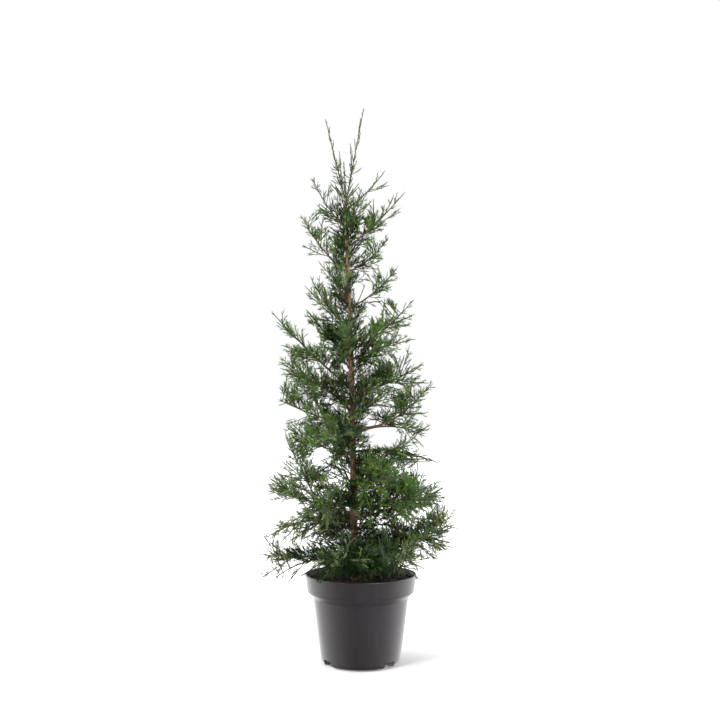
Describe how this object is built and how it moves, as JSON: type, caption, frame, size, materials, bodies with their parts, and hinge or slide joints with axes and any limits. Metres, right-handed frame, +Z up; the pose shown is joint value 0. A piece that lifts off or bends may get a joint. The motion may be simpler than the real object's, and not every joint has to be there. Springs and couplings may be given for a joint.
{
  "type": "potted juniper",
  "caption": "Upright conifer shrub with feathery sprays of scale leaves on one tapering trunk, growing in a round nursery pot that stands on its flat underside.",
  "frame": {"origin": "centre of the pot's flat underside, on the surface that the pot stands on", "axes": "+Z up along the plant, +X to the plant's right as seen from its show side, +Y towards its back"},
  "size_m": [0.3862, 0.3154, 1.1],
  "materials": {
    "pot_plastic": "matte charcoal grey moulded plastic with a faint satin sheen",
    "peat": "crumbly dark brown potting peat",
    "bark": "rough reddish-brown bark",
    "scale_leaves": "matte mid to dark green scale leaves"
  },
  "bodies": {
    "root": {"bough_left_02": "bark", "bough_left_04": "bark", "bough_left_05": "bark", "bough_left_07": "bark", "bough_left_09": "bark", "bough_right_02": "bark", "bough_right_03": "bark", "bough_right_05": "bark", "bough_right_06": "bark", "bough_right_07": "bark", "bough_right_08": "bark", "foliage_back_01": "scale_leaves", "foliage_back_02": "scale_leaves", "foliage_back_03": "scale_leaves", "foliage_back_04": "scale_leaves", "foliage_back_05": "scale_leaves", "foliage_back_06": "scale_leaves", "foliage_back_07": "scale_leaves", "foliage_back_08": "scale_leaves", "foliage_front_01": "scale_leaves", "foliage_front_02": "scale_leaves", "foliage_front_03": "scale_leaves", "foliage_front_04": "scale_leaves", "foliage_front_05": "scale_leaves", "foliage_front_06": "scale_leaves", "foliage_front_07": "scale_leaves", "foliage_front_08": "scale_leaves", "foliage_leader_left": "scale_leaves", "foliage_leader_right": "scale_leaves", "foliage_left_01": "scale_leaves", "foliage_left_02": "scale_leaves", "foliage_left_03": "scale_leaves", "foliage_left_04": "scale_leaves", "foliage_left_05": "scale_leaves", "foliage_left_06": "scale_leaves", "foliage_left_07": "scale_leaves", "foliage_left_08": "scale_leaves", "foliage_left_09": "scale_leaves", "foliage_left_10": "scale_leaves", "foliage_left_11": "scale_leaves", "foliage_left_12": "scale_leaves", "foliage_left_13": "scale_leaves", "foliage_right_01": "scale_leaves", "foliage_right_02": "scale_leaves", "foliage_right_03": "scale_leaves", "foliage_right_04": "scale_leaves", "foliage_right_05": "scale_leaves", "foliage_right_06": "scale_leaves", "foliage_right_07": "scale_leaves", "foliage_right_08": "scale_leaves", "foliage_right_09": "scale_leaves", "foliage_right_10": "scale_leaves", "foliage_right_11": "scale_leaves", "foliage_right_12": "scale_leaves", "foliage_right_13": "scale_leaves", "foliage_right_14": "scale_leaves", "pot": "pot_plastic", "soil": "peat", "trunk": "bark"}
  },
  "joints": []
}
